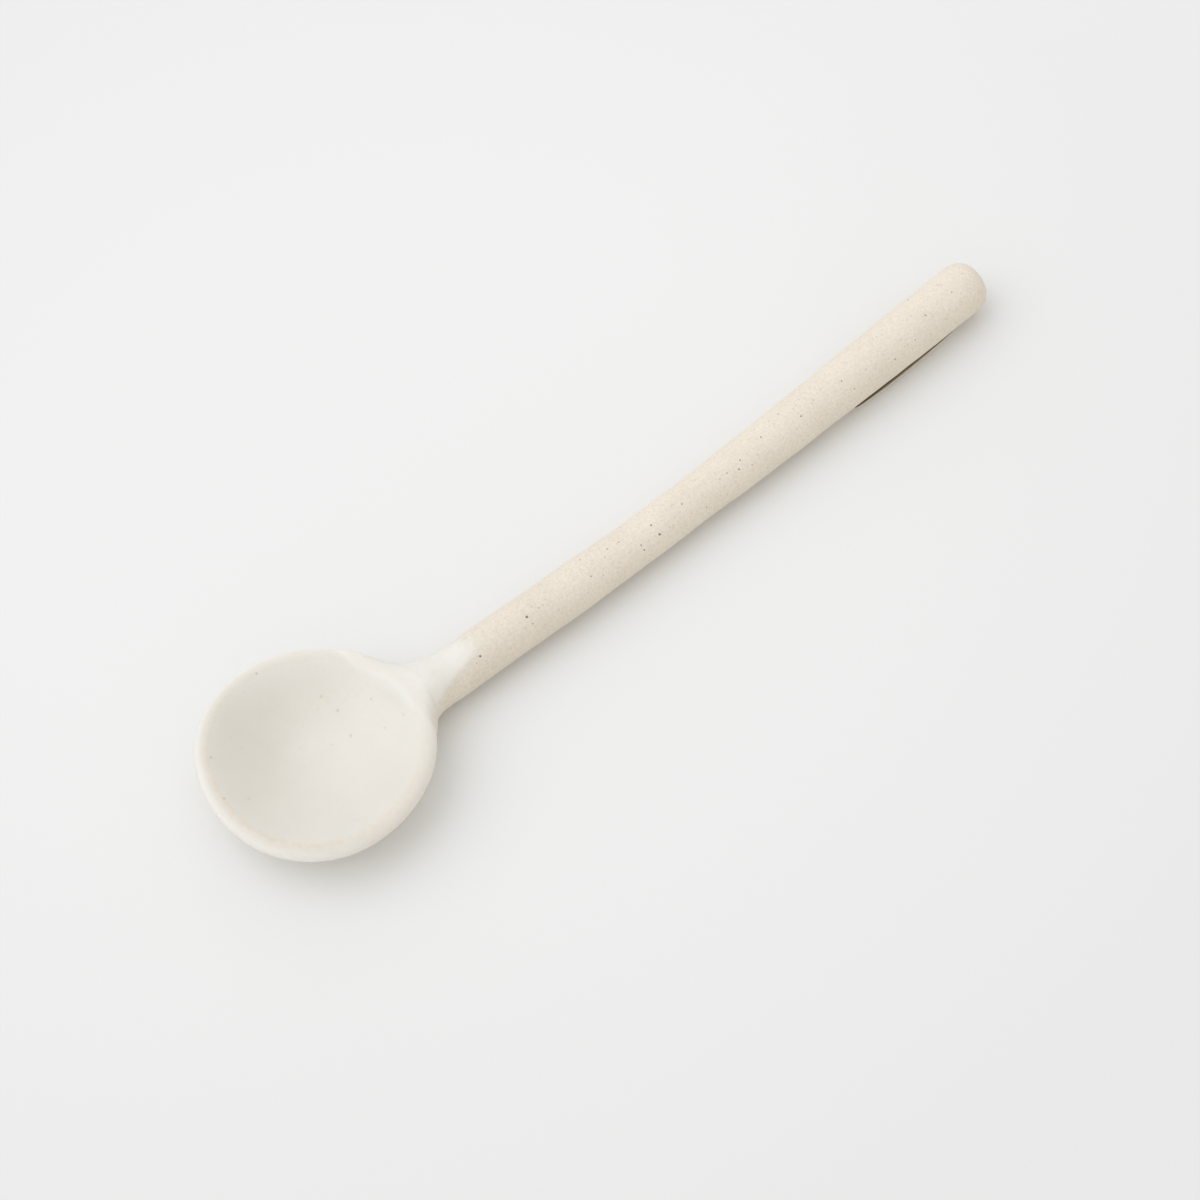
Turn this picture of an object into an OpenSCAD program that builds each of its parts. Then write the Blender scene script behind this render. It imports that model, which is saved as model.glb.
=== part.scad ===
// Hand-built stoneware spoon: a shallow glazed bowl on a bare rolled handle.
// Millimetres. +X runs along the handle from the bowl to the tip, and +Z is up.
// The origin is the centre of the bowl's flat foot, on the table.

/* [Spoon] */
// Overall length, from the bowl's far edge to the handle's tip
spoon_l = 179.5; // [140:0.5:230]

/* [Bowl] */
// Outer diameter across the rim
bowl_d = 41.4; // [36:0.1:56]
// Height of the rim above the table
bowl_h = 11.2; // [10:0.1:18]
// Thickness of the rounded rim
rim_t = 3; // [2:0.1:4]
// Thickness of the floor over the foot
floor_t = 2.4; // [1.6:0.1:4]
// Diameter of the flat, bare foot
foot_d = 16; // [10:0.5:24]

/* [Neck] */
// Distance past the rim over which the coil swells into its root
neck_l = 10; // [6:0.5:16]
// Diameter of the coil there
neck_d = 9; // [7:0.1:11]
// Radius of the flare into the bowl on the left, +Y
flare_left = 13; // [4:0.5:14]
// Radius of the flare into the bowl on the right, -Y
flare_right = 9; // [2:0.5:10]
// How far the flares' curves run into the bowl's wall
flare_bite = 0.5; // [0.4:0.1:1.2]
// How far the neck's top stays below the rim where it meets the bowl
neck_below_rim = 0.5; // [0.4:0.1:2]
// How far the neck's underside rises towards the bowl
neck_rise = 0.8; // [0.4:0.1:2.5]
// How far the slip in the joint stays inside the root's outline
slip_margin = 1.4; // [1:0.1:2]

/* [Handle] */
// Height of the coil's underside above the table at the neck
neck_lift = 0.6; // [0.3:0.1:1.5]
// Diameter at the waist, the coil's thinnest place
waist_d = 8.8; // [6.5:0.1:11]
// Diameter at the tip
tip_d = 10.2; // [8:0.1:13]
// Length of the rounded end at the tip
tip_round = 4.6; // [3:0.1:6]
// How far the coil bends to the right of a straight line
handle_bow = 2.1; // [0:0.1:4]

/* [Glaze] */
// Thickness of the glaze, and of the slip in the joint
glaze_t = 0.3; // [0.2:0.05:0.6]
// Height above the table where the glaze stops short of the foot
glaze_foot_h = 0.7; // [0.7:0.1:2]
// Distance from the bowl's centre to the glaze line on the middle of the coil
glaze_line_x = 30.3; // [29:0.1:36]
// How far the glaze line slants along the coil to either side of its middle
glaze_slant = 6.1; // [2:0.1:7]
// How far the glaze line waves
glaze_wave = 0.5; // [0:0.1:1]

/* [Label] */
// Length of the blank label
label_l = 26.8; // [15:0.1:40]
// Width of the label
label_w = 7.7; // [5:0.1:10]
// Thickness of the label
label_t = 0.3; // [0.2:0.05:0.6]
// Distance from the label's end to the handle's tip
label_from_tip = 8.5; // [7:0.1:20]
// Thickness of the glue at its thinnest
glue_t = 0.12; // [0.08:0.01:0.2]
// Width of the glue
glue_w = 2.6; // [1.6:0.1:4]

/* [Hidden] */

clay_colour = "#e2d8c6";
slip_colour = "#d8cbb6";
glaze_colour = "#e6e2d8";
label_colour = "#ece7da";
glue_colour = "#d9cfb8";

// Steps round the spoon's bowl, round the coil, and along the curves
bowl_steps = 96;
coil_sides = 36;
wall_steps = 16;
rim_steps = 10;
neck_steps = 16;
handle_steps = 30;
end_steps = 8;
glaze_steps = 5;

// How far a cut runs past what it cuts
overrun = bowl_d / 8;

bowl_r = bowl_d / 2;
rim_r = rim_t / 2;
foot_r = foot_d / 2;
rim_z = bowl_h - rim_r;
tip_x = spoon_l - bowl_r;
neck_x = bowl_r + neck_l;
end_x = tip_x - tip_round;
label_lift = label_t + glue_t;
label_start_x = tip_x - label_from_tip - label_l;

// The coil's sections start this share of the bowl's radius from its centre, inside the wall
root_share = 0.5;
// The waist's place along the coil, and the bend at nine even steps along it
waist_share = 0.45;
bow_shares = [0.62, 0.7, 0.93, 1, 0.89, 0.72, 0.5, 0.24, 0];
// Height of the neck's widest level where it meets the bowl, as a share of the rim's
widest_share = 0.7;
// How the wall curves up from the foot outside, and from the floor inside: 2 is a parabola
outer_power = 1.9;
inner_power = 2.1;
// Fullness of the rounded end: 2 is a half ellipse, and more is blunter
end_power = 2.6;
// Direction that the glaze line leans in, seen along the coil, from +Y towards +Z
glaze_lean = 53;

function mix(a, b, k) = a + (b - a) * k;
function ease(k) = k * k * (3 - 2 * k);
function clamp(k) = min(1, max(0, k));

// A smooth curve through evenly spaced values
function held(list, i) = list[min(len(list) - 1, max(0, i))];
function through(list, k) =
    let (u = clamp(k) * (len(list) - 1), i = min(floor(u), len(list) - 2), f = u - i)
    let (a = held(list, i - 1), b = held(list, i), c = held(list, i + 1), d = held(list, i + 2))
    b + f / 2 * (c - a + f * (2 * a - 5 * b + 4 * c - d + f * (3 * (b - c) + d - a)));

// The coil's radius, underside, and middle line at a distance x from the bowl's centre
function along(x) = clamp((x - bowl_r) / (tip_x - bowl_r));
function body_r(x) =
    let (k = along(x))
    k < waist_share
        ? mix(neck_d, waist_d, ease(k / waist_share)) / 2
        : mix(waist_d, tip_d, ease((k - waist_share) / (1 - waist_share))) / 2;
function end_scale(x) = pow(max(0, 1 - pow(max(0, x - end_x) / tip_round, end_power)), 1 / end_power);
function under(x) = mix(neck_lift, label_lift, clamp((x - neck_x) / (label_start_x - neck_x)));
function middle_y(x) = -handle_bow * through(bow_shares, along(x));
function middle_z(x) = under(x) + body_r(x);

// How much wider the neck is on one side, by a round fillet that runs into the rim's circle
function flare(x, f, side_y) =
    let (r = bowl_r - flare_bite, centre_x = sqrt(pow(r + f, 2) - pow(side_y + f, 2)))
    let (touch_x = centre_x * r / (r + f), d = min(f, centre_x - max(x, touch_x)))
    d > 0 ? f - sqrt(f * f - d * d) : 0;

// How near a section is to the bowl: 0 at the neck's end and 1 at the rim's edge
function near_bowl(x) = ease(clamp((neck_x - x) / neck_l));

// Bottom and top of the root where it meets the bowl
root_low = neck_lift + neck_rise;
root_top = max(neck_lift + neck_d, bowl_h - neck_below_rim);

// A point of the coil's skin, at an angle round the section, thickened by t
function skin(x, a, t) =
    let (r = body_r(x) * end_scale(x), n = near_bowl(x), y = middle_y(x))
    let (level = mix(middle_z(x), max(middle_z(x), bowl_h * widest_share), n))
    let (top = mix(middle_z(x) + r, root_top, n), low = mix(middle_z(x) - r, root_low, n))
    let (left = r + flare(x, flare_left, y + r), right = r + flare(x, flare_right, r - y))
    let (across = cos(a) > 0 ? left : right, upright = sin(a) > 0 ? top - level : level - low)
    [x, y + cos(a) * (across + t), level + sin(a) * (upright + t)];
function section(x, t) = [for (i = [0 : coil_sides - 1]) skin(x, 360 * i / coil_sides, t)];

// Faces between neighbouring rings of points
function bands(first, rings) = [
    for (j = [0 : rings - 1], i = [0 : coil_sides - 1])
        let (a = first + j * coil_sides + i, b = first + j * coil_sides + (i + 1) % coil_sides)
        each [[a, b, b + coil_sides], [a, b + coil_sides, a + coil_sides]]
];
function turned(faces) = [for (f = faces) [f[2], f[1], f[0]]];
// Faces that join a ring of one skin to the same ring of another
function edge_band(a, b) = [
    for (i = [0 : coil_sides - 1])
        let (k = (i + 1) % coil_sides)
        each [[a + i, a + k, b + k], [a + i, b + k, b + i]]
];

// A closed solid through sections, with flat ends
module through_sections(xs, t) {
    n = coil_sides;
    last = (len(xs) - 1) * n;
    points = [for (x = xs) each section(x, t)];
    near_end = [for (i = [n - 1 : -1 : 0]) i];
    far_end = [for (i = [0 : n - 1]) last + i];
    polyhedron(points, concat([near_end], bands(0, len(xs) - 1), [far_end]), convexity = 6);
}

// Where the rings lie: from inside the bowl's wall along the neck, then along the coil and round its end
neck_xs = [for (i = [0 : neck_steps]) mix(bowl_r * root_share, neck_x, i / neck_steps)];
shaft_xs = [for (i = [1 : handle_steps - 1]) mix(neck_x, end_x, i / handle_steps)];
// The last ring is all but a point
end_xs = [for (i = [0 : end_steps]) end_x + tip_round * sin(89 * i / end_steps)];

// Where the glaze ends at an angle round the coil: a slanted, slightly wavy line
function glaze_end(a) = glaze_line_x + glaze_slant * cos(a - glaze_lean) + glaze_wave * sin(3 * a);
// The glaze's rings: the neck's own as far as all of them are glazed, then steps that lean over to the line
straight_xs = [for (x = neck_xs) if (x < glaze_line_x - glaze_slant - glaze_wave) x];
function glaze_ring(j, t) =
    let (last = len(straight_xs) - 1, k = max(0, j - last) / glaze_steps)
    [for (i = [0 : coil_sides - 1])
        let (a = 360 * i / coil_sides)
        skin(mix(straight_xs[min(j, last)], glaze_end(a), k), a, t)];

// Outline of the bowl's clay, from the foot's edge round the rim to the middle of the floor
function rim_curve(a) = [bowl_r - rim_r + rim_r * cos(a), rim_z + rim_r * sin(a)];
// The slope at which the wall meets the round rim without a crease, found in a few turns
function outer_slope(a) =
    let (p = rim_curve(a - 90))
    atan(outer_power * p[1] / (p[0] - foot_r));
function inner_slope(a) =
    let (p = rim_curve(90 + a))
    atan(inner_power * (p[1] - floor_t) / p[0]);
outer_meet = outer_slope(outer_slope(outer_slope(outer_slope(45))));
inner_meet = inner_slope(inner_slope(inner_slope(inner_slope(45))));
outer_top = rim_curve(outer_meet - 90);
inner_top = rim_curve(90 + inner_meet);
// Points of the wall at a share of the way from its lowest point to the rim
function outer_wall(k) = [mix(foot_r, outer_top[0], k), outer_top[1] * pow(k, outer_power)];
function inner_wall(k) = [inner_top[0] * k, mix(floor_t, inner_top[1], pow(k, inner_power))];
// The share at which the outer wall has a height, and its direction outwards there
function wall_share(z) = pow(z / outer_top[1], 1 / outer_power);
function wall_out(k) =
    let (d = [outer_top[1] * outer_power * pow(k, outer_power - 1), foot_r - outer_top[0]])
    d / norm(d);
function outer_points(from, to) = [for (i = [0 : wall_steps]) outer_wall(mix(from, to, i / wall_steps))];
outer_rim = [for (i = [1 : rim_steps]) rim_curve(mix(outer_meet - 90, 90, i / rim_steps))];
inner_rim = [for (i = [1 : rim_steps - 1]) rim_curve(mix(90, 90 + inner_meet, i / rim_steps))];
inner_points = [for (i = [0 : wall_steps]) inner_wall(1 - i / wall_steps)];

// A stretch of outline as thick as the glaze, with the direction outwards at either end
function away(p, q) = [q[1] - p[1], p[0] - q[0]] / norm(q - p);
function coat(line, first, last) =
    let (n = len(line) - 1)
    let (dirs = [for (i = [0 : n]) i == 0 ? first : i == n ? last : away(line[i - 1], line[i + 1])])
    concat(line, [for (i = [n : -1 : 0]) line[i] + glaze_t * dirs[i]]);

// The bowl's outline under glaze, from just above the foot round the rim to the middle of the floor
foot_line = wall_share(glaze_foot_h);
glazed_line = concat(outer_points(foot_line, 1), outer_rim, inner_rim, inner_points);

// Where the slip lies on the wall: its heights, and half the angle that it takes of the bowl's circle
slip_low = root_low + slip_margin;
slip_top = min(root_top, outer_top[1]) - slip_margin;
slip_angle = asin((neck_d / 2 - slip_margin) / bowl_r);

// Space inside the glazed bowl's outer surface, open upwards past the rim's crest
module within_bowl() {
    line = concat(outer_points(0, 1), outer_rim);
    both_skins = coat(line, [0, -1], [0, 1]);
    outside = [for (i = [len(both_skins) - 1 : -1 : len(line)]) both_skins[i]];
    above = [[bowl_r - rim_r, bowl_h + overrun], [0, bowl_h + overrun], [0, -glaze_t]];
    rotate_extrude($fn = bowl_steps) polygon(concat(outside, above));
}

// The bowl, pinched and smoothed, on a flat bare foot
module bowl() {
    color(clay_colour)
    rotate_extrude($fn = bowl_steps)
    polygon(concat([[0, 0]], outer_points(0, 1), outer_rim, inner_rim, inner_points));
}

// The glaze's whole shell over the bowl, and the part of its space that the slip takes
module glaze_shell() {
    rotate([0, 0, 180])
    rotate_extrude($fn = bowl_steps)
    polygon(coat(glazed_line, wall_out(foot_line), [0, 1]));
}
module slip_window() {
    low_r = outer_wall(wall_share(slip_low))[0] - rim_r;
    top_r = outer_wall(wall_share(slip_top))[0] - rim_r;
    far_r = bowl_r + overrun;
    rotate([0, 0, -slip_angle])
    rotate_extrude(angle = 2 * slip_angle, $fn = bowl_steps)
    polygon([[low_r, slip_low], [far_r, slip_low], [far_r, slip_top], [top_r, slip_top]]);
}

// Slip that sticks the handle's scored root to the bowl's scored wall
module joint_slip() {
    color(slip_colour)
    intersection() {
        glaze_shell();
        slip_window();
    }
}

// Rolled coil, bare clay, with a swelling root and a blunt rounded end
module handle() {
    color(clay_colour)
    difference() {
        through_sections(concat(neck_xs, shaft_xs, end_xs), 0);
        within_bowl();
    }
}

// Matt glaze over the bowl, open at the foot and at the joint
module bowl_glaze() {
    color(glaze_colour)
    difference() {
        glaze_shell();
        slip_window();
    }
}

// Matt glaze round the neck and the coil's start
module neck_glaze() {
    rings = len(straight_xs) + glaze_steps;
    skin_size = rings * coil_sides;
    last = skin_size - coil_sides;
    outside = [for (j = [0 : rings - 1]) each glaze_ring(j, glaze_t)];
    inside = [for (j = [0 : rings - 1]) each glaze_ring(j, 0)];
    faces = concat(
        bands(0, rings - 1),
        turned(bands(skin_size, rings - 1)),
        edge_band(last, skin_size + last),
        turned(edge_band(0, skin_size))
    );
    color(glaze_colour)
    difference() {
        polyhedron(concat(outside, inside), faces, convexity = 6);
        within_bowl();
    }
}

// Places what lies under the handle's far end, in line with the coil there
module at_label() {
    x = tip_x - label_from_tip - label_l / 2;
    step = label_l / 4;
    turn = atan((middle_y(x + step) - middle_y(x - step)) / (2 * step));
    translate([x, middle_y(x), 0]) rotate([0, 0, turn]) children();
}

// Blank strip stuck along the handle's underside
module label() {
    color(label_colour)
    at_label() translate([-label_l / 2, -label_w / 2, 0]) cube([label_l, label_w, label_t]);
}

// Glue between the strip and the round coil
module label_glue() {
    coil_r = body_r(tip_x - label_from_tip);
    color(glue_colour)
    at_label()
    difference() {
        translate([-label_l / 2, -glue_w / 2, label_t]) cube([label_l, glue_w, coil_r]);
        translate([-label_l, 0, label_lift + coil_r])
        rotate([0, 90, 0])
        cylinder(r = coil_r, h = 2 * label_l, $fn = 360);
    }
}

bowl();
joint_slip();
handle();
bowl_glaze();
neck_glaze();
label();
label_glue();
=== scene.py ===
import bmesh
import bpy
import math
from mathutils import Matrix, Vector, noise


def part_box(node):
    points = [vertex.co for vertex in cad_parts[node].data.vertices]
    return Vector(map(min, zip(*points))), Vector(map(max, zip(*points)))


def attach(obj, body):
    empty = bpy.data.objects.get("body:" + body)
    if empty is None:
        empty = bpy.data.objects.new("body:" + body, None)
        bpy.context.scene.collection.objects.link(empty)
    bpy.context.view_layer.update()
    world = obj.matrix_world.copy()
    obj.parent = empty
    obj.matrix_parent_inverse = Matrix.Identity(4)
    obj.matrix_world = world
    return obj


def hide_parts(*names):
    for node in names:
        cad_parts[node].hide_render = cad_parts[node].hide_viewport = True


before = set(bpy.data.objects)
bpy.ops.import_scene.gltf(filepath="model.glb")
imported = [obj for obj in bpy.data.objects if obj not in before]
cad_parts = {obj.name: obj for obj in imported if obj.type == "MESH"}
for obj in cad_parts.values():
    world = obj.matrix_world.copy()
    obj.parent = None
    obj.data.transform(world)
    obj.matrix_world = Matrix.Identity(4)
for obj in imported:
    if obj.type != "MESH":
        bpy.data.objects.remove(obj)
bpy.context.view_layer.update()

# The pinched bowl
# A ball of pale stoneware pinched and smoothed into a shallow round dish with a thick rounded rim. It stands
# on a flat foot, which is left bare of glaze so that it doesn't stick to the kiln's shelf.
MM = 0.001
HAIR = 0.01 * MM
bowl_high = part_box("bowl")[1]
RIM_RADIUS = bowl_high.y
RIM_TOP = bowl_high.z - 0.08 * MM
LIP = 1.5 * MM
LIP_CENTRE = Vector((RIM_RADIUS - LIP, 0, RIM_TOP - LIP))
# Degrees above level at which the outer wall runs into the lip's round
LIP_START = -39
WALL_POWER = 1.9
FLOOR_THICK = 2.4 * MM
FOOT_RADIUS = 8 * MM
THUMB_PRESS = Vector((0.8, 2.4, 0)) * MM


def mix(a, b, share):
    return a + (b - a) * share


def step_up(low, high, value):
    # From 0 to 1 in one soft step as the value goes from low to high
    share = min(1, max(0, (value - low) / (high - low)))
    return share * share * (3 - 2 * share)


def lip_point(degrees):
    turn = math.radians(degrees)
    return LIP_CENTRE + LIP * Vector((math.cos(turn), 0, math.sin(turn)))


def hollow_height(reach):
    # Level in the middle of the floor, steepest towards the rim, and level again on top of the lip
    return mix(FLOOR_THICK, RIM_TOP, (1 - max(0, 1 - reach / LIP_CENTRE.x) ** 1.3) ** 2.2)


WALL_TOP = lip_point(LIP_START)


def bowl_outline():
    # The outer wall curves up from the foot, the lip is round, and the inner slope falls away softly from it
    points = [Vector((0, 0, 0)), Vector((FOOT_RADIUS * 0.5, 0, 0))]
    points += [
        Vector((mix(FOOT_RADIUS, WALL_TOP.x, k / 24), 0, WALL_TOP.z * (k / 24) ** WALL_POWER))
        for k in range(25)
    ]
    points += [lip_point(mix(LIP_START, 90, k / 12)) for k in range(1, 13)]
    inwards = [LIP_CENTRE.x * (1 - k / 40) for k in range(1, 41)]
    points += [Vector((reach, 0, hollow_height(reach))) for reach in inwards]
    return points


clay = bmesh.new()
corners = [clay.verts.new(point) for point in bowl_outline()]
edges = [clay.edges.new(pair) for pair in zip(corners, corners[1:])]
bmesh.ops.spin(
    clay, geom=corners + edges, cent=(0, 0, 0), axis=(0, 0, 1), angle=math.tau, steps=144, use_merge=True
)
bmesh.ops.remove_doubles(clay, verts=clay.verts, dist=HAIR)
for v in clay.verts:
    # The thumb pressed the hollow deepest a little to one side of its middle
    inside = 1 - (v.co.xy.length / LIP_CENTRE.x) ** 2
    if inside > 0 and FLOOR_THICK - HAIR < v.co.z < hollow_height(v.co.xy.length) + HAIR:
        v.co += THUMB_PRESS * inside**2
bmesh.ops.recalc_face_normals(clay, faces=clay.faces)

# The rolled handle
# A coil of the same clay, rolled by hand, so it swells and bends a little, with a blunt tip. Its root is
# worked out wide and low where it is stuck to the bowl with slip, more to the left than to the right.
NECK_X = 31 * MM
TIP_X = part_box("handle")[1].x
TIP_ROUND = 4.6 * MM
TIP_POWER = 2.6
# In mm, at even steps from the rim to the tip: the coil's radius, and how far left of straight its middle is
COIL_RADII = [4.3, 4.6, 4.57, 4.41, 4.39, 4.61, 4.87, 5.05, 5.12]
COIL_BENDS = [-1.6, -1.45, -1.95, -2.08, -1.86, -1.5, -1.05, -0.5, 0.05]
# How high the coil's underside is over the table, at the neck and on the label
NECK_LIFT = 0.6 * MM
LABEL_LIFT = 0.42 * MM
LABEL_START_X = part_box("label")[0].x
# The root: where it starts in the bowl, how far from the rim it begins to spread, the heights of its widest
# place and its underside, and the radii of its curves into the rim's circle
ROOT_START_X = 10.5 * MM
ROOT_SPREAD = 10 * MM
ROOT_WIDEST = RIM_TOP * 0.56
ROOT_UNDER = 1.4 * MM
LEFT_CURVE = 18 * MM
RIGHT_CURVE = 13 * MM
COIL_SIDES = 64


def smooth_run(values, share):
    # A smooth curve through values at even steps
    place = min(1, max(0, share)) * (len(values) - 1)
    step = min(int(place), len(values) - 2)
    past = place - step
    a, b, c, d = (values[min(len(values) - 1, max(0, step + k))] for k in (-1, 0, 1, 2))
    return b + past / 2 * (c - a + past * (2 * a - 5 * b + 4 * c - d + past * (3 * (b - c) + d - a)))


def coil_middle(x):
    # How far left and how high the coil's middle is, and its radius there
    share = (x - RIM_RADIUS) / (TIP_X - RIM_RADIUS)
    radius = smooth_run(COIL_RADII, share) * MM
    lift = mix(NECK_LIFT, LABEL_LIFT, min(1, max(0, (x - NECK_X) / (LABEL_START_X - NECK_X))))
    return smooth_run(COIL_BENDS, share) * MM, lift + radius, radius


def flare(x, size, side):
    # A round fillet from the coil's side into the rim's circle
    rim = RIM_RADIUS - 0.5 * MM
    centre = math.sqrt((rim + size) ** 2 - (side + size) ** 2)
    depth = min(size, centre - max(x, centre * rim / (rim + size)))
    return size - math.sqrt(size**2 - depth**2) if depth > 0 else 0


def wall_reach(z):
    # How far the bowl's outer wall stands from the middle at a height
    return mix(FOOT_RADIUS, WALL_TOP.x, (max(0, z) / WALL_TOP.z) ** (1 / WALL_POWER))


def coil_point(x, turn):
    # A point on the coil's skin, by its place along the coil and its turn round it from the left upwards
    middle_y, middle_z, radius = coil_middle(x)
    past = max(0, x - (TIP_X - TIP_ROUND)) / TIP_ROUND
    radius *= max(0, 1 - past**TIP_POWER) ** (1 / TIP_POWER)
    # Towards the rim the root grows wide and low, and its top comes level with the rim
    spread = RIM_RADIUS + ROOT_SPREAD - x
    near = step_up(0, ROOT_SPREAD, spread)
    level = mix(middle_z, max(middle_z, ROOT_WIDEST), near)
    top = mix(middle_z + radius, RIM_TOP - 0.05 * MM, step_up(0, 8 * MM, spread))
    low = mix(middle_z - radius, ROOT_UNDER, near)
    left = radius + flare(x, LEFT_CURVE, middle_y + radius)
    right = radius + flare(x, RIGHT_CURVE, radius - middle_y)
    across, up = math.cos(turn), math.sin(turn)
    y = middle_y + across * (left if across > 0 else right)
    z = level + up * (top - level if up > 0 else level - low)
    # The root starts inside the bowl's wall, and covers the rim up to the hollow's edge
    wall = min(wall_reach(z) - 1.1 * MM, RIM_RADIUS - 3.4 * MM)
    return Vector((max(x, math.sqrt(max(0, wall**2 - y**2))), y, z))


places = [mix(ROOT_START_X, NECK_X, k / 30) for k in range(31)]
places += [mix(NECK_X, TIP_X - TIP_ROUND, k / 60) for k in range(1, 61)]
places += [TIP_X - TIP_ROUND + TIP_ROUND * math.sin(math.radians(89 * k / 16)) for k in range(1, 17)]
start = bmesh.ops.create_circle(clay, cap_ends=True, radius=1, segments=COIL_SIDES)["verts"]
ring = sorted(start, key=lambda v: math.atan2(v.co.y, v.co.x) % math.tau)
turns = [math.atan2(v.co.y, v.co.x) for v in ring]
for x in places:
    if x > places[0]:
        hoop = [clay.edges.get((ring[i - 1], ring[i])) for i in range(COIL_SIDES)]
        grown = bmesh.ops.extrude_edge_only(clay, edges=hoop)["geom"]
        fresh = {v for v in grown if isinstance(v, bmesh.types.BMVert)}
        ring = [next(e.other_vert(v) for e in v.link_edges if e.other_vert(v) in fresh) for v in ring]
    for v, turn in zip(ring, turns):
        v.co = coil_point(x, turn)
bmesh.ops.contextual_create(clay, geom=ring)
bmesh.ops.recalc_face_normals(clay, faces=clay.faces)

# The joint, worked smooth
# Before firing, the clay of the bowl and of the handle is pressed and smoothed into one form. The neck runs
# level into the rim, with a soft ridge at the hollow's edge, and the hand leaves the rim not quite round.
GRAIN_SIZE = 0.42 * MM
SMOOTH_PASSES = 24
ALL_WAYS = {"use_axis_x": True, "use_axis_y": True, "use_axis_z": True}
# How far the rim strays outwards, in mm, at even steps round the bowl from the handle to the left
RIM_STRAY = [1.6, 0.7, -0.2, -0.3, 0.0, 0.22, 0.15, -0.24, -0.28, 0.1, 0.2, 0.08, -0.27, -0.19, 0.4, 1.0]
# An upright cut just inside the rim, under the glaze, parts the bowl from the handle
JOINT_X = RIM_RADIUS - 0.6 * MM
SHARP_ANGLE = math.radians(60)


def bake_modifiers(thing):
    bpy.context.view_layer.update()
    shaped = bpy.data.meshes.new_from_object(thing.evaluated_get(bpy.context.evaluated_depsgraph_get()))
    thing.modifiers.clear()
    thing.data = shaped
    return thing


def new_piece(name, shape):
    mesh = bpy.data.meshes.new(name)
    shape.to_mesh(mesh)
    shape.free()
    piece = bpy.data.objects.new(name, mesh)
    bpy.context.scene.collection.objects.link(piece)
    return piece


def in_joint(point):
    # Three places: the neck with the rim beside it, the ridge at the hollow's edge, and the root's underside
    if not 0 < point.x < 28 * MM:
        return False
    reach = point.xy.length
    if point.x > 18 * MM and abs(point.y) < 15 * MM and reach > RIM_RADIUS - 2 * MM:
        return True
    if point.z > 8 * MM and abs(point.y) < 11 * MM and -6 * MM < reach - RIM_RADIUS < -2 * MM:
        return True
    return 7 * MM < point.x < 24 * MM and MM < point.z < 7.5 * MM and reach > wall_reach(point.z) - MM


def stray_at(point):
    # How far the rim strays outwards in a point's direction
    turn = math.atan2(point.y, point.x) % math.tau / math.tau
    return smooth_run(RIM_STRAY + RIM_STRAY[:1], turn) * MM


def cut_away(shape, place, normal):
    # Clears the side of a plane that its normal points to
    bmesh.ops.bisect_plane(
        shape, geom=shape.verts[:] + shape.edges[:] + shape.faces[:], dist=0.001 * MM,
        plane_co=place, plane_no=normal, clear_outer=True,
    )


def part_of_spoon(place, normal):
    # The spoon's form, cleared in the same way
    part = bmesh.new()
    part.from_mesh(spoon_mesh)
    cut_away(part, place, normal)
    return part


raw_clay = new_piece("raw_clay", clay)
fuse = raw_clay.modifiers.new("fuse", "REMESH")
fuse.mode = "VOXEL"
fuse.voxel_size = GRAIN_SIZE
bake_modifiers(raw_clay)
spoon = bmesh.new()
spoon.from_mesh(raw_clay.data)
bpy.data.objects.remove(raw_clay)
bmesh.ops.smooth_vert(spoon, verts=spoon.verts, factor=0.5, **ALL_WAYS)
for _ in range(SMOOTH_PASSES):
    joint = [v for v in spoon.verts if in_joint(v.co)]
    bmesh.ops.smooth_vert(spoon, verts=joint, factor=0.5, **ALL_WAYS)

spoon.normal_update()
for v in spoon.verts:
    # The hand's lumps, with a flat foot and a bowl that is smoother than the coil
    old = v.co.copy()
    reach = math.hypot(old.x, old.y)
    free = step_up(0, 2 * MM, old.z)
    lumps = 0.16 * noise.noise(old / (11 * MM)) + 0.05 * noise.noise(old / (4 * MM))
    calm = 1 - 0.6 * step_up(RIM_RADIUS + 4 * MM, RIM_RADIUS, reach)
    v.co += v.normal * lumps * MM * free * calm
    # The rim's stray, which grows from nothing in the hollow and fades out along the neck
    if reach < RIM_RADIUS + 3 * MM:
        stray = stray_at(old) * free * step_up(8 * MM, RIM_RADIUS, reach)
        fade = 1 - step_up(RIM_RADIUS, RIM_RADIUS + 3 * MM, reach)
        v.co.x += old.x / reach * stray * fade
        v.co.y += old.y / reach * stray * fade

spoon_mesh = bpy.data.meshes.new("spoon_form")
spoon.to_mesh(spoon_mesh)
spoon.free()

bowl_clay = part_of_spoon((JOINT_X, 0, 0), (1, 0, 0))
bmesh.ops.holes_fill(bowl_clay, edges=[e for e in bowl_clay.edges if e.is_boundary], sides=0)
bowl_clay = new_piece("pinched_bowl", bowl_clay)
handle_clay = part_of_spoon((JOINT_X, 0, 0), (-1, 0, 0))
bmesh.ops.holes_fill(handle_clay, edges=[e for e in handle_clay.edges if e.is_boundary], sides=0)
handle_clay = new_piece("rolled_handle", handle_clay)
for piece in (bowl_clay, handle_clay):
    piece.data.shade_smooth()
    piece.data.set_sharp_from_angle(angle=SHARP_ANGLE)
    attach(piece, "root")
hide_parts("bowl")
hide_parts("handle")


def linear(code):
    # An sRGB hex colour as the linear values that a shader takes
    channels = (int(code[i:i + 2], 16) / 255 for i in (1, 3, 5))
    return (*(c / 12.92 if c <= 0.04045 else ((c + 0.055) / 1.055) ** 2.4 for c in channels), 1)


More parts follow.
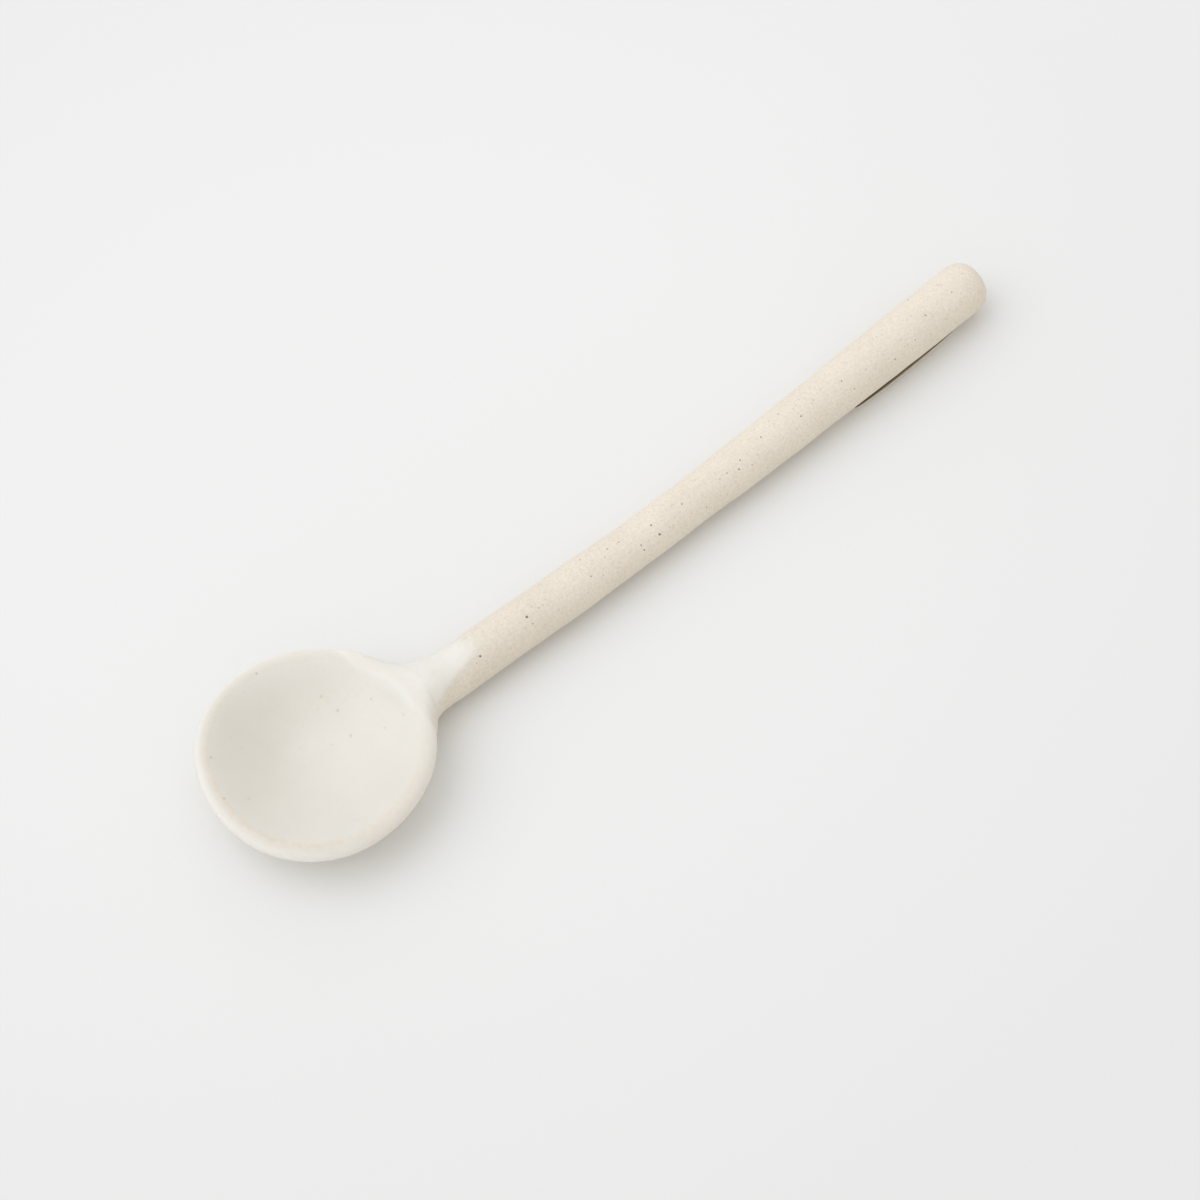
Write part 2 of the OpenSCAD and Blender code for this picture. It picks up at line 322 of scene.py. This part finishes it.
def add_node(tree, kind, sockets, **settings):
    # A node with its settings, whose sockets are given a value or linked to another node's output. They go
    # by name, or by number: a Mix node's colours are 6 and 7, and a Map Range node's two ranges 1 to 4.
    node = tree.nodes.new(kind)
    for name, value in settings.items():
        setattr(node, name, value)
    for name, value in sockets.items():
        if isinstance(value, bpy.types.NodeSocket):
            tree.links.new(value, node.inputs[name])
        else:
            node.inputs[name].default_value = value
    return node


def new_material(name, roughness, ior):
    material = bpy.data.materials.new(name)
    material.use_nodes = True
    shader = material.node_tree.nodes["Principled BSDF"]
    shader.inputs["Roughness"].default_value = roughness
    shader.inputs["IOR"].default_value = ior
    return material, material.node_tree, shader


# Bare stoneware: pale cream clay fired unglazed, matt and sandy, with faint rings where the hand smoothed it
# beyond the neck, and with iron in it that burns out as brown specks
bare_stoneware, tree, shader = new_material("bare_stoneware", 0.85, 1.5)
place = add_node(tree, "ShaderNodeTexCoord", {}).outputs["Object"]
clouds = add_node(
    tree, "ShaderNodeTexNoise", {"Vector": place, "Scale": 1 / (9 * MM), "Detail": 3}
).outputs["Fac"]
sand = add_node(
    tree, "ShaderNodeTexNoise", {"Vector": place, "Scale": 1 / (0.5 * MM), "Detail": 4}
).outputs["Fac"]
body = add_node(
    tree, "ShaderNodeMix", {"Factor": clouds, 6: linear("#e0d4c3"), 7: linear("#e9dfcf")}, data_type="RGBA"
)
sandy = add_node(tree, "ShaderNodeMapRange", {"Value": sand, 1: 0.35, 2: 0.65, 3: 0.94, 4: 1.04})
along = add_node(tree, "ShaderNodeSeparateXYZ", {"Vector": place}).outputs["X"]
rings = add_node(
    tree, "ShaderNodeTexNoise", {"W": along, "Scale": 1 / (0.9 * MM), "Detail": 2}, noise_dimensions="1D"
)
ringed = add_node(
    tree, "ShaderNodeMapRange", {"Value": along, 1: 75 * MM, 2: 40 * MM, 3: 0, 4: 1}
).outputs[0]
ringed = add_node(
    tree, "ShaderNodeMath", {0: rings.outputs["Fac"], 1: ringed}, operation="MULTIPLY"
).outputs[0]
ringed = add_node(
    tree, "ShaderNodeMath", {0: ringed, 1: -0.06, 2: 1.03}, operation="MULTIPLY_ADD"
).outputs[0]
body = add_node(
    tree, "ShaderNodeMix", {"Factor": 1.0, 6: body.outputs[2], 7: sandy.outputs[0]}, data_type="RGBA",
    blend_type="MULTIPLY",
)
body = add_node(
    tree, "ShaderNodeMix", {"Factor": 1.0, 6: body.outputs[2], 7: ringed}, data_type="RGBA",
    blend_type="MULTIPLY",
)

# The specks' outlines are ragged by up to a tenth of a millimetre
jog = add_node(
    tree, "ShaderNodeTexNoise", {"Vector": place, "Scale": 1 / (0.3 * MM), "Detail": 1}
).outputs["Color"]
jog = add_node(tree, "ShaderNodeVectorMath", {0: jog, 1: (0.5, 0.5, 0.5)}, operation="SUBTRACT").outputs[0]
ragged = add_node(
    tree, "ShaderNodeVectorMath", {0: jog, 1: (0.2 * MM,) * 3, 2: place}, operation="MULTIPLY_ADD"
).outputs[0]
# Small specks: mm from one to the next, mm across, colour and strength
for spread, across, colour, strength in ((1, 0.42, "#b8a07f", 0.22), (2.4, 0.36, "#8c7150", 0.36)):
    cells = add_node(
        tree, "ShaderNodeTexVoronoi", {"Vector": ragged, "Scale": 1 / (spread * MM)}
    ).outputs["Distance"]
    spot = add_node(
        tree, "ShaderNodeMapRange",
        {"Value": cells, 1: 0.3 * across / spread, 2: 0.6 * across / spread, 3: strength, 4: 0},
    )
    body = add_node(
        tree, "ShaderNodeMix", {"Factor": spot.outputs[0], 6: body.outputs[2], 7: linear(colour)},
        data_type="RGBA",
    )
# Bold specks: mm along the handle, degrees round it from the left upwards, and mm across
BOLD_SPECKS = [
    (46, 108, 0.5), (75.8, 130.5, 0.46), (34.7, 119.3, 0.44), (75.5, 100.5, 0.36), (71.7, 138.8, 0.36),
    (111.5, 112.5, 0.32), (95.6, 120.8, 0.34), (143.5, 108.8, 0.32), (96.8, 105.8, 0.3), (133.5, 142.5, 0.3),
    (102.9, 93, 0.28), (82.7, 104.2, 0.28), (66.1, 84, 0.28), (71.6, 124.5, 0.28), (108.6, 73.5, 0.26),
    (46.2, 128.2, 0.26), (93.3, 111, 0.26), (98.2, 132, 0.24), (36.4, 94.5, 0.24), (48.8, 106.5, 0.24),
    (122.1, 107.3, 0.3), (143.9, 45.8, 0.28), (150.6, 105, 0.26), (139, 136.5, 0.24), (149.8, 72, 0.2),
    (115.4, 100.5, 0.22), (123.4, 139.5, 0.22), (68.7, 87, 0.22), (61, 64.5, 0.24), (60.3, 114.8, 0.24),
    (86.5, 148.5, 0.24), (25.9, 208, 0.4),
]
# Each one sits on the handle's nearest skin, which can be found once the scene is up to date
bpy.context.view_layer.update()
bold = 0.0
for x, turn, across in BOLD_SPECKS:
    on_skin = handle_clay.closest_point_on_mesh(coil_point(x * MM, math.radians(turn)))[1]
    off = add_node(
        tree, "ShaderNodeVectorMath", {0: ragged, 1: on_skin}, operation="DISTANCE"
    ).outputs["Value"]
    spot = add_node(
        tree, "ShaderNodeMapRange", {"Value": off, 1: 0.3 * across * MM, 2: 0.62 * across * MM, 3: 0.9, 4: 0}
    )
    bold = add_node(tree, "ShaderNodeMath", {0: spot.outputs[0], 1: bold}, operation="MAXIMUM").outputs[0]
body = add_node(
    tree, "ShaderNodeMix", {"Factor": bold, 6: body.outputs[2], 7: linear("#5e4938")}, data_type="RGBA"
)
tree.links.new(body.outputs[2], shader.inputs["Base Color"])
bump = add_node(tree, "ShaderNodeBump", {"Height": sand, "Strength": 0.35, "Distance": 0.08 * MM})
tree.links.new(bump.outputs["Normal"], shader.inputs["Normal"])
bowl_clay.data.materials.append(bare_stoneware)
handle_clay.data.materials.append(bare_stoneware)

# The glaze
# The bowl is dipped in a matt off-white glaze as far as the neck. It pools a little in the hollow, thins
# over the rim's crest, and ends in a soft tongue on the neck's top and just above the foot.
GLAZE_THICK = 0.24 * MM
# Heights over the table: where the coat starts above the foot, and where it is fully thick
GLAZE_LOW = 0.7 * MM
GLAZE_FULL = 1.6 * MM
# How far along the coil the coat reaches, in mm, at even steps round the neck from the left over the top
GLAZE_ENDS = [32.4, 34, 35.8, 36.8, 37.2, 36, 29.2, 24, 23.4, 23.8, 24.6, 25.4, 27, 28.6, 30, 31.2]
GLAZE_FADE = 4.8 * MM
NECK_MIDDLE_Y = -1.3 * MM
NECK_MIDDLE_Z = 5.4 * MM
CREST = lip_point(98)
CREST_WIDE = 1.25 * MM
# How much farther in than the rim's crest the ridge before the neck lies
RIDGE_IN = 2.6 * MM


def glaze_end(point):
    # How far along the coil the glaze reaches at a point's place round it
    turn = math.atan2(point.z - NECK_MIDDLE_Z, point.y - NECK_MIDDLE_Y) % math.tau / math.tau
    ripple = 0.5 * noise.noise(Vector((0, point.y, point.z)) / (1.6 * MM))
    return (smooth_run(GLAZE_ENDS + GLAZE_ENDS[:1], turn) + ripple) * MM


# Every point slides back by the coat's reach at its place, a square cut is made, and they slide out again
coat = part_of_spoon((0, 0, GLAZE_LOW), (0, 0, -1))
for v in coat.verts:
    v.co.x -= glaze_end(v.co)
cut_away(coat, (0, 0, 0), (1, 0, 0))
for v in coat.verts:
    v.co.x += glaze_end(v.co)
glaze = new_piece("matt_glaze", coat)
full = glaze.vertex_groups.new(name="full")
depths, crest_tint_and_shade, hollows = [], [], []
for v in glaze.data.vertices:
    reach = math.hypot(v.co.x, v.co.y)
    even_reach = reach - stray_at(v.co)
    turn = math.atan2(v.co.y, v.co.x)
    off_neck = step_up(math.radians(18), math.radians(42), abs(turn))
    # The coat thins out to its end on the neck and to its line above the foot
    depth = step_up(0, GLAZE_FADE, glaze_end(v.co) - v.co.x) if v.co.x > 18 * MM else 1
    depth = min(depth, step_up(GLAZE_LOW, GLAZE_FULL, v.co.z))
    depths.append(depth)
    full.add([v.index], 0.16 + 0.84 * depth, "REPLACE")
    # It ran thin and tan on the rim's crest, most by the camera. On the outer wall at the photograph's
    # right, which is in shade, the same tan is painted warm shade
    near_side = 0.5 - 0.5 * (v.co.x * 0.65 + v.co.y * 0.76) / max(reach, MM)
    off_crest = (Vector((even_reach, 0, v.co.z)) - CREST).length
    tan = (1 - step_up(0, CREST_WIDE, off_crest)) * mix(0.32, 0.72, near_side) * mix(0.4, 1, off_neck)
    outward = (v.normal.x * v.co.x + v.normal.y * v.co.y) / max(reach, MM)
    # Painted warm shade: outward walls facing the photograph's right, on the shaded side, get the crest's
    # tan
    painted_warm_shade = step_up(0.2, 0.8, outward) * step_up(0.15, 0.85, v.normal.x * 0.5 - v.normal.y * 0.75)
    crest_tint_and_shade.append(max(tan, 0.45 * painted_warm_shade))
    # It pooled inside the crest and the ridge before the neck; the pool colour is less on the side away from
    # the camera, which is painted light on the inner wall that faces the light
    off_ridge = step_up(math.radians(16), math.radians(38), abs(turn - math.radians(8)))
    past_crest = even_reach - RIM_RADIUS + RIDGE_IN * (1 - off_ridge)
    pooling_and_painted_light = 1 - step_up(-1.2 * MM, 0.2 * MM, past_crest) if v.normal.z > 0 else 0
    # Painted light: the pool colour fades towards the far inner wall, which faces the light
    pooling_and_painted_light *= 1 - 0.35 * step_up(0, 18 * MM, v.co.x * 0.85 + v.co.y * 0.5)
    hollows.append(max(pooling_and_painted_light, (0.45 if v.co.x > 0 else 0) * (1 - off_neck)))
for name, values in (("coat_depth", depths), ("crest_and_painted_shade", crest_tint_and_shade), ("in_hollow", hollows)):
    glaze.data.attributes.new(name, "FLOAT", "POINT")
    glaze.data.attributes[name].data.foreach_set("value", values)
thicken = glaze.modifiers.new("thickness", "SOLIDIFY")
thicken.thickness = GLAZE_THICK
thicken.offset = 1
thicken.vertex_group = "full"
bake_modifiers(glaze)
glaze.data.shade_smooth()
glaze.data.set_sharp_from_angle(angle=SHARP_ANGLE)
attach(glaze, "root")
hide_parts("bowl_glaze", "neck_glaze")

# Matt white glaze: an opaque dolomite glaze, silky, a little greyer where it pools in the hollow, warm along
# the rim's crest where it ran thin, and sandy where it fades out over the clay. Painted light makes the
# hollow's far inner wall paler, and painted warm shade tints the outer wall on the shaded side
matt_white, tree, shader = new_material("matt_white_glaze", 0.55, 1.5)
place = add_node(tree, "ShaderNodeTexCoord", {}).outputs["Object"]
thick = add_node(tree, "ShaderNodeAttribute", {}, attribute_name="coat_depth").outputs["Fac"]
thin_crest_and_painted_shade = add_node(tree, "ShaderNodeAttribute", {}, attribute_name="crest_and_painted_shade").outputs["Fac"]
pooling_and_painted_light = add_node(tree, "ShaderNodeAttribute", {}, attribute_name="in_hollow").outputs["Fac"]
clouds = add_node(
    tree, "ShaderNodeTexNoise", {"Vector": place, "Scale": 1 / (7 * MM), "Detail": 4}
).outputs["Fac"]
mottle = add_node(
    tree, "ShaderNodeTexNoise", {"Vector": place, "Scale": 1 / (1.1 * MM), "Detail": 4}
).outputs["Fac"]
sand = add_node(
    tree, "ShaderNodeTexNoise", {"Vector": place, "Scale": 1 / (0.5 * MM), "Detail": 4}
).outputs["Fac"]
body = add_node(
    tree, "ShaderNodeMix", {"Factor": clouds, 6: linear("#f0ebe1"), 7: linear("#f4efe7")}, data_type="RGBA"
)
pool = add_node(
    tree, "ShaderNodeMix", {"Factor": clouds, 6: linear("#dcd7cc"), 7: linear("#e4dfd5")}, data_type="RGBA"
)
body = add_node(
    tree, "ShaderNodeMix", {"Factor": pooling_and_painted_light, 6: body.outputs[2], 7: pool.outputs[2]}, data_type="RGBA"
)
# Tan where the glaze ran thin on the crest, and painted warm shade on the shaded outer wall
patchy = add_node(tree, "ShaderNodeMapRange", {"Value": mottle, 1: 0.3, 2: 0.7, 3: 0.2, 4: 0.9}).outputs[0]
patchy = add_node(tree, "ShaderNodeMath", {0: thin_crest_and_painted_shade, 1: patchy}, operation="MULTIPLY").outputs[0]
body = add_node(
    tree, "ShaderNodeMix", {"Factor": patchy, 6: body.outputs[2], 7: linear("#dacab3")}, data_type="RGBA"
)
# Small specks under the glaze: mm from one to the next, mm across, colour and strength
for spread, across, colour, strength in ((2.1, 0.3, "#cfc6b4", 0.5), (6.0, 0.6, "#b9b3a6", 0.6)):
    cells = add_node(
        tree, "ShaderNodeTexVoronoi", {"Vector": place, "Scale": 1 / (spread * MM)}
    ).outputs["Distance"]
    spot = add_node(
        tree, "ShaderNodeMapRange",
        {"Value": cells, 1: 0.2 * across / spread, 2: 0.7 * across / spread, 3: strength, 4: 0},
    )
    body = add_node(
        tree, "ShaderNodeMix", {"Factor": spot.outputs[0], 6: body.outputs[2], 7: linear(colour)},
        data_type="RGBA",
    )
# Bolder specks in the bowl: mm along and mm left from its middle, mm from centre to edge, and colour
GLAZE_SPECKS = [
    (8.4, 0.9, 0.42, "#b0b0ac"), (8.6, 9.1, 0.42, "#cdb897"), (-14.6, 10.5, 0.4, "#b9b2a2"),
    (16.4, -4.2, 0.36, "#d3c4a8"), (13, -3.1, 0.4, "#ccc6b8"), (5.1, 2.2, 0.3, "#bdb9b0"),
    (-18, 2.6, 0.4, "#b9ad98"), (1.7, 18.4, 0.3, "#b09a7e"),
]
for x, y, across, colour in GLAZE_SPECKS:
    height = hollow_height(math.hypot(x, y) * MM) + 0.3 * MM
    on_skin = glaze.closest_point_on_mesh(Vector((x * MM, y * MM, height)))[1]
    off = add_node(
        tree, "ShaderNodeVectorMath", {0: place, 1: on_skin}, operation="DISTANCE"
    ).outputs["Value"]
    spot = add_node(
        tree, "ShaderNodeMapRange", {"Value": off, 1: 0.1 * MM, 2: across * MM, 3: 0.5, 4: 0}
    ).outputs[0]
    body = add_node(
        tree, "ShaderNodeMix", {"Factor": spot, 6: body.outputs[2], 7: linear(colour)}, data_type="RGBA"
    )
# The clay shows through where the coat is thin, and the coat's end is frayed
sandy = add_node(tree, "ShaderNodeMapRange", {"Value": sand, 1: 0.35, 2: 0.65, 3: 0.94, 4: 1.04})
through = add_node(
    tree, "ShaderNodeMix", {"Factor": 1.0, 6: linear("#e4dbca"), 7: sandy.outputs[0]}, data_type="RGBA",
    blend_type="MULTIPLY",
)
frayed = add_node(
    tree, "ShaderNodeMath", {0: mottle, 1: 1.6, 2: -0.8}, operation="MULTIPLY_ADD"
).outputs[0]
frayed = add_node(tree, "ShaderNodeMath", {0: thick, 1: frayed}, operation="ADD").outputs[0]
frayed = add_node(tree, "ShaderNodeMapRange", {"Value": frayed, 1: 0.1, 2: 1.0, 3: 0, 4: 1}).outputs[0]
thin = add_node(
    tree, "ShaderNodeMix", {"Factor": frayed, 6: through.outputs[2], 7: body.outputs[2]}, data_type="RGBA"
)
tree.links.new(thin.outputs[2], shader.inputs["Base Color"])
silky = add_node(tree, "ShaderNodeMapRange", {"Value": mottle, 1: 0.3, 2: 0.7, 3: 0.5, 4: 0.62})
tree.links.new(silky.outputs[0], shader.inputs["Roughness"])
bump = add_node(tree, "ShaderNodeBump", {"Height": mottle, "Strength": 0.25, "Distance": 0.06 * MM})
tree.links.new(bump.outputs["Normal"], shader.inputs["Normal"])
glaze.data.materials.append(matt_white)

# The slip in the joint
# Clay thinned with water, brushed on both scored faces before they were pressed together. It is sealed in
# the joint and fired with the rest.
fired_slip, tree, shader = new_material("fired_slip", 0.9, 1.5)
place = add_node(tree, "ShaderNodeTexCoord", {}).outputs["Object"]
strokes = add_node(
    tree, "ShaderNodeTexNoise", {"Vector": place, "Scale": 1 / (0.7 * MM), "Detail": 3}
).outputs["Fac"]
body = add_node(
    tree, "ShaderNodeMix", {"Factor": strokes, 6: linear("#cdbfa8"), 7: linear("#ddd1bd")}, data_type="RGBA"
)
tree.links.new(body.outputs[2], shader.inputs["Base Color"])
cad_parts["joint_slip"].material_slots[0].material = fired_slip

# The blank label and its glue
# A strip of blank card with round corners, stuck along the underside of the handle near the tip by a narrow
# line of glue. Its two long edges curl up round the coil, least at mid length, and the gap there has painted
# shade.
label_low, label_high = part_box("label")
label_x = (label_low.x + label_high.x) / 2
LABEL_LENGTH = 26.8 * MM
LABEL_WIDTH = 8.3 * MM
PAPER_THICK = 0.27 * MM
CORNER = 1.8 * MM
# How far the card is flat on each side of its middle line, and where along it the edges curl up least
FLAT_HALF = 1.3 * MM
LEAST_CURL_X = -1.5 * MM
tip_side = coil_middle(label_x + LABEL_LENGTH / 4)[0]
neck_side = coil_middle(label_x - LABEL_LENGTH / 4)[0]
label_turn = math.atan2(tip_side - neck_side, LABEL_LENGTH / 2)
paper = bmesh.new()
bmesh.ops.create_grid(paper, x_segments=54, y_segments=16, size=0.5)
bmesh.ops.scale(paper, vec=(LABEL_LENGTH, LABEL_WIDTH, 1), verts=paper.verts)
shaded = []
for v in paper.verts:
    end = abs(v.co.x) - (LABEL_LENGTH / 2 - CORNER)
    side = abs(v.co.y) - (LABEL_WIDTH / 2 - CORNER)
    past = math.hypot(end, side)
    if end > 0 and side > 0 and past > CORNER:
        v.co.x -= math.copysign(end * (1 - CORNER / past), v.co.x)
        v.co.y -= math.copysign(side * (1 - CORNER / past), v.co.y)
    curl = max(0, abs(v.co.y) - FLAT_HALF) / (LABEL_WIDTH / 2 - FLAT_HALF)
    wrap = (2 * abs(v.co.x - LEAST_CURL_X) / LABEL_LENGTH) ** 2
    v.co.z = 0.03 * MM + (0.65 + 0.6 * wrap + 0.15 * noise.noise(v.co / (9 * MM))) * MM * curl**2
    v.co.y *= 1 - 0.06 * wrap
    # The share of painted shade: full across the card, fading out at its long edges
    shaded.append(step_up(0.2 * MM, 0.6 * MM, LABEL_WIDTH / 2 - abs(v.co.y)))
shading = paper.verts.layers.float.new("painted_shade_under_coil")
for v, share in zip(paper.verts, shaded):
    v[shading] = share
bmesh.ops.solidify(paper, geom=paper.faces[:], thickness=-PAPER_THICK)
bmesh.ops.rotate(paper, cent=(0, 0, 0), matrix=Matrix.Rotation(label_turn, 3, "Z"), verts=paper.verts)
bmesh.ops.translate(paper, vec=(label_x, (label_low.y + label_high.y) / 2, 0), verts=paper.verts)
bmesh.ops.recalc_face_normals(paper, faces=paper.faces)
label = new_piece("blank_label", paper)
label.data.shade_smooth()
label.data.set_sharp_from_angle(angle=math.radians(40))
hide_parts("label")
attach(label, "root")

# Uncoated card: warm white, with faint fibres in all directions, and painted shade in the gap by the coil
blank_paper, tree, shader = new_material("blank_paper", 0.85, 1.45)
place = add_node(tree, "ShaderNodeTexCoord", {}).outputs["Object"]
fibres = add_node(
    tree, "ShaderNodeTexNoise", {"Vector": place, "Scale": 1 / (0.35 * MM), "Detail": 5, "Distortion": 1.5}
).outputs["Fac"]
body = add_node(
    tree, "ShaderNodeMix", {"Factor": fibres, 6: linear("#e4d8c2"), 7: linear("#f1e8d6")}, data_type="RGBA"
)
in_gap = add_node(tree, "ShaderNodeAttribute", {}, attribute_name="painted_shade_under_coil").outputs["Fac"]
upper = add_node(tree, "ShaderNodeNewGeometry", {}).outputs["Normal"]
upper = add_node(tree, "ShaderNodeSeparateXYZ", {"Vector": upper}).outputs["Z"]
upper = add_node(tree, "ShaderNodeMath", {0: upper, 1: 0.2}, operation="GREATER_THAN").outputs[0]
# Painted shade: the card's upper side is painted dark brown in the gap under the coil, where the coil shades
# it
painted_gap_shade = add_node(tree, "ShaderNodeMath", {0: in_gap, 1: upper}, operation="MULTIPLY").outputs[0]
body = add_node(
    tree, "ShaderNodeMix", {"Factor": painted_gap_shade, 6: body.outputs[2], 7: linear("#6f5d49")}, data_type="RGBA"
)
tree.links.new(body.outputs[2], shader.inputs["Base Color"])
bump = add_node(tree, "ShaderNodeBump", {"Height": fibres, "Strength": 0.3, "Distance": 0.03 * MM})
tree.links.new(bump.outputs["Normal"], shader.inputs["Normal"])
label.data.materials.append(blank_paper)

# Glue that dried clear and yellowish
dried_glue, tree, shader = new_material("dried_glue", 0.4, 1.47)
place = add_node(tree, "ShaderNodeTexCoord", {}).outputs["Object"]
bubbles = add_node(
    tree, "ShaderNodeTexNoise", {"Vector": place, "Scale": 1 / (0.6 * MM), "Detail": 2}
).outputs["Fac"]
body = add_node(
    tree, "ShaderNodeMix", {"Factor": bubbles, 6: linear("#c9b993"), 7: linear("#ddd2b6")}, data_type="RGBA"
)
tree.links.new(body.outputs[2], shader.inputs["Base Color"])
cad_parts["label_glue"].material_slots[0].material = dried_glue

# The table, the light and the camera
# A plain white table by a big soft window on the photograph's left. The daylight from it is cool, and what
# the room's white walls give back is a little warmer.
TABLE_HALF = 8000 * MM
# Where the painted light on the table is fullest
FULL_LIGHT = (48 * MM, 28 * MM, 0)
DAYLIGHT = (1, 1.05, 1.17)
WARM_WALLS = (1, 1, 0.985, 1)
WALL_LIGHT = 0.756
# The direction of the photograph's left, in degrees round from the handle's
PHOTO_LEFT = 139.5
# The window's parts: degrees round from there towards the camera, degrees above the table, and strength
WINDOW_PARTS = [(0, 54, 0.74), (-85, 40, 0.19), (45, 45, 0.11), (0, 88, 0.14)]

table_shape = bmesh.new()
bmesh.ops.create_grid(table_shape, x_segments=1, y_segments=1, size=TABLE_HALF)
table = new_piece("table", table_shape)
# Its white paint is even under the spoon; towards the room's dim side it is darkened, as painted shade
white_table, tree, shader = new_material("white_table", 0.9, 1.5)
place = add_node(tree, "ShaderNodeTexCoord", {}).outputs["Object"]
away = add_node(
    tree, "ShaderNodeVectorMath", {0: place, 1: FULL_LIGHT}, operation="DISTANCE"
).outputs["Value"]
away = add_node(
    tree, "ShaderNodeMapRange", {"Value": away, 1: 70 * MM, 2: 160 * MM, 3: 1, 4: 0.965}
).outputs[0]
side = add_node(tree, "ShaderNodeSeparateXYZ", {"Vector": place}).outputs["Y"]
side = add_node(
    tree, "ShaderNodeMapRange", {"Value": side, 1: 60 * MM, 2: -130 * MM, 3: 1, 4: 0.955}
).outputs[0]
painted_falloff = add_node(tree, "ShaderNodeMath", {0: away, 1: side}, operation="MULTIPLY").outputs[0]
paint = add_node(
    tree, "ShaderNodeMix", {"Factor": 1.0, 6: linear("#ecebe8"), 7: painted_falloff}, data_type="RGBA",
    blend_type="MULTIPLY",
)
tree.links.new(paint.outputs[2], shader.inputs["Base Color"])
shader.inputs["Specular IOR Level"].default_value = 0.0
table.data.materials.append(white_table)

for side, height, strength in WINDOW_PARTS:
    window = bpy.data.lights.new("window", "SUN")
    window.energy = strength
    window.angle = math.radians(60)
    window.color = DAYLIGHT
    lamp = bpy.data.objects.new("window", window)
    bpy.context.scene.collection.objects.link(lamp)
    turn, climb = math.radians(PHOTO_LEFT + side), math.radians(height)
    towards = Vector((math.cos(turn), math.sin(turn), math.tan(climb)))
    lamp.rotation_euler = (-towards).to_track_quat("-Z", "Y").to_euler()

world = bpy.data.worlds.new("white_room")
world.use_nodes = True
world.node_tree.nodes["Background"].inputs["Color"].default_value = WARM_WALLS
world.node_tree.nodes["Background"].inputs["Strength"].default_value = WALL_LIGHT
bpy.context.scene.world = world
bpy.context.scene.view_settings.view_transform = "Standard"

camera = bpy.data.objects.new("camera", bpy.data.cameras.new("camera"))
bpy.context.scene.collection.objects.link(camera)
camera.data.sensor_width = 36
camera.data.lens = 132.4
camera.location = (-0.1987, -0.3095, 0.6923)
sight = Vector((0.06178, -0.00469, 0)) - camera.location
camera.rotation_euler = sight.to_track_quat("-Z", "Y").to_euler()
bpy.context.scene.camera = camera
